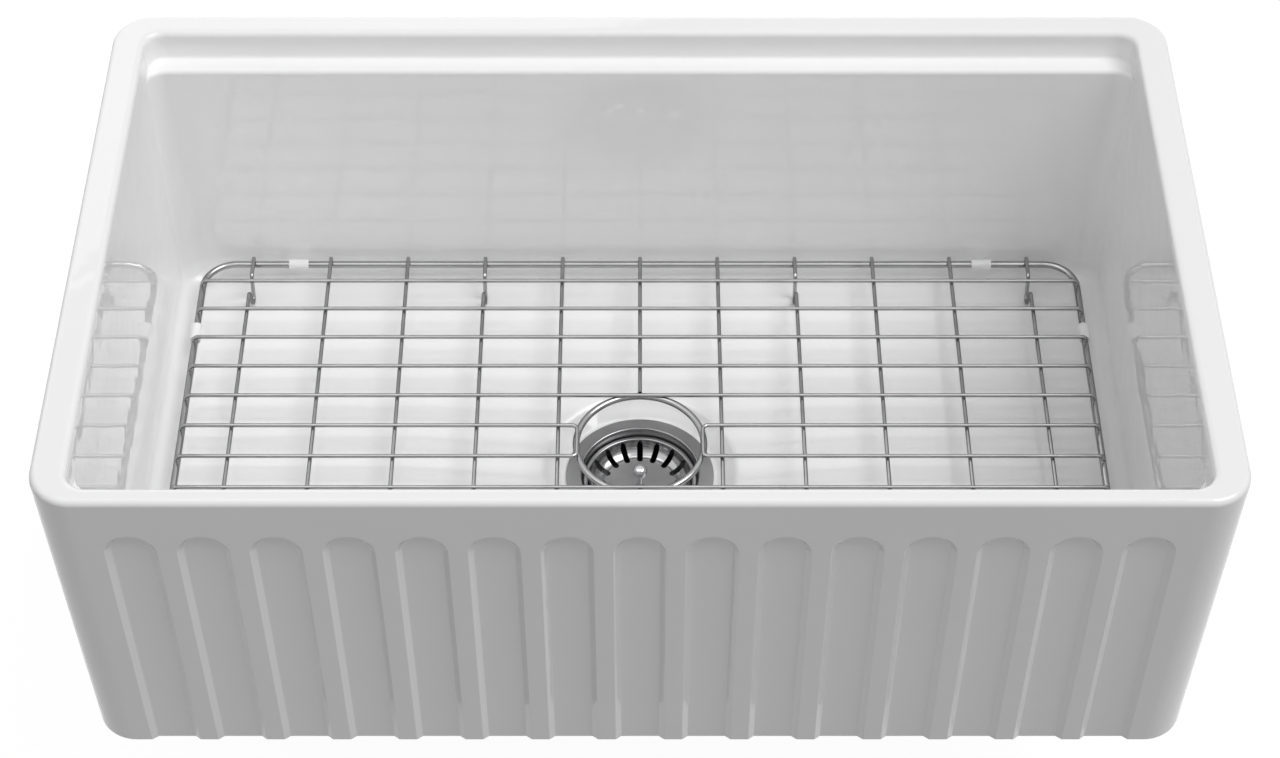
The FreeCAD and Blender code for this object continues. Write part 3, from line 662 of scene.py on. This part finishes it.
rays = np.radians(np.linspace(180, 0, 41))
border = CELL / np.maximum(np.abs(np.cos(rays)), np.abs(np.sin(rays)))
reach = np.concatenate([border[:, None], np.tile(profile_out, (len(rays), 1))], axis=1)
depth = np.concatenate([[0], profile_depth])
arch_part = np.stack([reach * np.cos(rays)[:, None], -HALF_Y + depth + 0 * reach,
                      ARCH_HEIGHT + reach * np.sin(rays)[:, None]], axis=-1)

across = np.concatenate([[CELL], profile_out])
foot_round = FOOT_LAND + (FOOT_BED - FOOT_LAND) * depth / BEVEL
plain_part = np.stack(np.broadcast_arrays(across, -HALF_Y + depth, plain_z[:, None]), axis=-1)
foot_part = np.stack(np.broadcast_arrays(
    across, -HALF_Y + depth + foot_round * (1 - np.cos(foot))[:, None],
    foot_round * (1 - np.sin(foot))[:, None]), axis=-1)
side_part = np.concatenate([plain_part, foot_part])
mirror = np.array([-1, 1, 1])
flute = np.concatenate([side_part[::-1] * mirror, arch_part, side_part])
flutes = [(flute + np.array([x, 0, 0]), False) for x in centres]
print("flutes:", len(flutes), "each of", flute.shape[:2], "points")

# %% Ends and back below the flutes' top, and the underside
shell_z = np.concatenate([ray_z, plain_z, FOOT_LAND * (1 - np.sin(foot))])
shell_in = np.concatenate([np.zeros(len(ray_z) + len(plain_z)), FOOT_LAND * (1 - np.cos(foot))])
shell = outside(shell_in, shell_z)
round_the_back = np.append(np.arange(len(front_x) - 1, len(columns)), 0)
field_edge = centres[-1] + CELL
shell[:, len(front_x) - 1, 0] = field_edge
shell[:, 0, 0] = -field_edge

half_line = foot_part[-1]
cell_line = np.concatenate([half_line * mirror, half_line[-2::-1]])
front_line = cell_line[None] + centres[:, None, None] * np.array([1, 0, 0])
front_line = np.append(front_line[:, :-1].reshape(-1, 3), front_line[-1, -1:], axis=0)
outline = np.concatenate([front_line, shell[-1, len(front_x):]])
step = np.array([0, 0.05, 0.4, 1])[:, None, None]
underside = outline + (drain_rows[-1] - outline) * step

shells = [(inside, True), (shell[:, round_the_back], False), (underside, True)]
basin = piece("glazed_basin", shells + flutes, glaze, "sink", "glaze", "basin")

# %% [markdown]
# ## The strainer
# The photograph shows the cup's wall falling straight from its polished lip to a shoulder,
# on which the basket's rolled rim lies, and a basket with a flat bottom, a wide bend and
# eighteen slots. Each pressed part is one outline turned about the drain's axis.


# %% Turned outlines
def turned(outline, steps=128):
    """A closed outline of (radius, height) turned about the drain axis, ready for a piece."""
    angle = np.linspace(0, 2 * math.pi, steps, endpoint=False)
    ring = np.append(outline, outline[:1], axis=0)[:, None, :]
    x, y = ring[..., 0] * np.sin(angle), ring[..., 0] * np.cos(angle) + DRAIN
    return np.stack([x, y, ring[..., 1] + 0 * x], axis=-1), True


def prism(loop, low, high):
    """A closed upright prism over a loop of (x, y) points."""
    middle = np.broadcast_to(loop.mean(0), loop.shape)
    rows = [(middle, low), (loop, low), (loop, high), (middle, high)]
    return np.stack([np.column_stack([xy, np.full(len(xy), z)]) for xy, z in rows]), True


def about_drain(points, turn):
    """Points turned about the drain axis by an angle."""
    c, s = math.cos(turn), math.sin(turn)
    return points @ np.array([[c, s], [-s, c]]) + [0, DRAIN]


# %% Strainer body
FLANGE, FLANGE_LOW, FLANGE_HIGH = 55.0, 14.0, 15.2
CREST, BORE, SHOULDER = (44.0, 17.3), 43.2, 6.4        # lip, upper bore, and where the rim lies
CUP, CUP_OUT, CUP_TOP, CUP_WAIST = 40.2, 43.0, 4.6, -19.0
CUP_FLOOR, CUP_FOOT, FOOT_OUT, SHEET = -36.0, 38.4, 39.6, 1.2
SPIGOT, SPIGOT_OUT, SPIGOT_END = 19.5, 23.9, -61.0
WALL_OUT = BORE + 1.4
body_outline = rounded([
    (WALL_OUT, 15.5), (FLANGE, FLANGE_LOW, 0.55), (FLANGE, FLANGE_HIGH, 0.55), (*CREST, 1.0),
    (BORE, 14.8, 1.0), (BORE, SHOULDER, 0.6), (CUP, SHOULDER, 0.6), (CUP, CUP_WAIST),
    (CUP_FOOT, CUP_FLOOR, 4.0), (SPIGOT, CUP_FLOOR), (SPIGOT, SPIGOT_END),
    (SPIGOT_OUT, SPIGOT_END), (SPIGOT_OUT, CUP_FLOOR - SHEET), (FOOT_OUT, CUP_FLOOR - SHEET, 5.2),
    (CUP_OUT, CUP_WAIST), (CUP_OUT, CUP_TOP), (WALL_OUT, CUP_TOP)])
HUB, GUIDE, BAR, LAP = 9.0, 6.1, 3.6, 0.4              # the spider that guides the post
hub_outline = np.array([(GUIDE, CUP_FLOOR), (HUB, CUP_FLOOR), (HUB, CUP_FLOOR - SHEET),
                        (GUIDE, CUP_FLOOR - SHEET)])
bar_loop = np.array([(-BAR / 2, HUB - LAP), (BAR / 2, HUB - LAP), (BAR / 2, SPIGOT + LAP),
                     (-BAR / 2, SPIGOT + LAP)])
bars = [prism(about_drain(bar_loop, turn), CUP_FLOOR - SHEET + 0.05, CUP_FLOOR - 0.05)
        for turn in np.radians([0, 90, 180, 270])]
strainer = piece("strainer_cup", [turned(body_outline), turned(hub_outline)] + bars, brushed,
                 "sink", "brushed_strainer", "strainer_body", sharp=35)
seal_outline = np.array([(44.8, 13.2), (53.5, 13.2), (53.5, 14.16), (44.8, 15.4)])
seal_ring = piece("sealant_ring", [turned(seal_outline)], seal, "sink", "sealant", "flange_seal",
                  sharp=35)

# %% [markdown]
# ### Basket
# The slots run over the basket's bend, where no column of its grid follows their round
# ends, so they are cut with a boolean. The cut is made final at once, and the cutter goes
# away again, so the piece is a plain mesh with crisp slot edges.

# %% Basket outline
RIM_OUT, RIM_IN, RIM_TOP, RIM_FOOT = 42.8, 39.2, 10.4, 7.0
BEND_CORNER, BEND_ROUND, THICK = 35.4, 12.0, 0.9
POST = 2.6                            # radius of the hole for the post
under = THICK * math.tan(math.atan2(RIM_TOP, RIM_IN - BEND_CORNER) / 2)
shell_outline = rounded([
    (POST, 0), (BEND_CORNER, 0, BEND_ROUND), (RIM_IN, RIM_TOP, 1.0), (RIM_OUT, RIM_TOP, 1.6),
    (RIM_OUT, RIM_FOOT, 0.3), (RIM_OUT - THICK, RIM_FOOT, 0.3),
    (RIM_OUT - THICK, RIM_TOP - THICK, 0.6), (RIM_IN + under, RIM_TOP - THICK, 0.8),
    (BEND_CORNER + under, -THICK, BEND_ROUND + THICK), (POST, -THICK)])
bowl_grid = turned(shell_outline, 144)
print("points round the basket's outline:", len(shell_outline))

# %% Slots
SLOTS, SLOT_WIDE, SLOT_FROM, SLOT_TO = 18, 4.4, 25.8, 38.9
half_turn = np.linspace(0, math.pi, 9)
end_arc = np.stack([np.cos(half_turn), np.sin(half_turn)], axis=-1) * SLOT_WIDE / 2
slot_loop = np.concatenate([end_arc + [0, SLOT_TO - SLOT_WIDE / 2],
                            [0, SLOT_FROM + SLOT_WIDE / 2] - end_arc])
cutters = [prism(about_drain(slot_loop, turn), -4.0, 14.0)
           for turn in np.linspace(0, 2 * math.pi, SLOTS, endpoint=False)]
basket = piece("basket_bowl", [bowl_grid], brushed, "basket", "brushed_strainer", "basket_shell")


def cut_out(target, grids, sharp):
    """Cuts closed grids out of a piece, for good."""
    tool = piece("cutter", grids, brushed, "basket", "brushed_strainer")
    cut = target.modifiers.new("cut", "BOOLEAN")
    cut.object, cut.operation, cut.solver = tool, "DIFFERENCE", "EXACT"
    bpy.context.view_layer.update()
    target.modifiers.move(1, 0)
    even = target.modifiers["even_shading"]          # waits, so that only the cut is made final
    even.show_viewport = even.show_render = False
    view = target.evaluated_get(bpy.context.evaluated_depsgraph_get())
    mesh = bpy.data.meshes.new_from_object(view)
    target.modifiers.remove(cut)
    target.data = mesh
    mesh.shade_smooth()
    mesh.set_sharp_from_angle(angle=math.radians(sharp))
    even.show_viewport = even.show_render = True
    bpy.data.objects.remove(tool)
    print(target.name, "after the cuts:", len(mesh.polygons), "faces")


cut_out(basket, cutters, 40)

# %% Post
PIN, FOOT, WAIST = 2.58, 4.4, 1.8     # radii below the basket, at its floor and above it
stopper_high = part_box("basket_stopper")[1][2] / MM
post_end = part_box("stopper_nut")[0][2] / MM - 4.6      # the pin's tip shows below its nut
post_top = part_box("basket_knob")[0][2] / MM + 1.4      # and its top ends inside the knob
post_outline = rounded([
    (0, post_top), (WAIST, post_top), (WAIST, 5.0, 5.0), (FOOT, 0), (PIN, 0), (PIN, -THICK),
    (FOOT, -THICK), (FOOT, stopper_high), (PIN, stopper_high), (PIN, post_end, 2.0), (0, post_end)])
post = piece("basket_stem", [turned(post_outline[:-1], 48)], polished, "basket", "polished_steel",
             "basket_post", sharp=35)

# %% [markdown]
# ## Carried-over fittings
# The drain fittings, the rods and the bumpers keep their construction shapes. Each gets
# the finish of its own stuff.

# %% Dress the fittings
skins = {
    "brushed_strainer": brushed, "polished_steel": polished, "grid_steel": rod_steel,
    "bumper_rubber": bumper_white, "black_rubber": black, "sealant": seal, "fibre": fibre,
    "white_plastic": plastic, "nut_metal": cast, "glaze": glaze,
}
slot_of = {part["node"]: part["material_slot"] for part in frame["record"]["subparts"]}
for name, shape in frame["nodes"].items():
    shape.data.materials.clear()
    shape.data.materials.append(skins[slot_of[name]])
print("dressed:", len(frame["nodes"]))
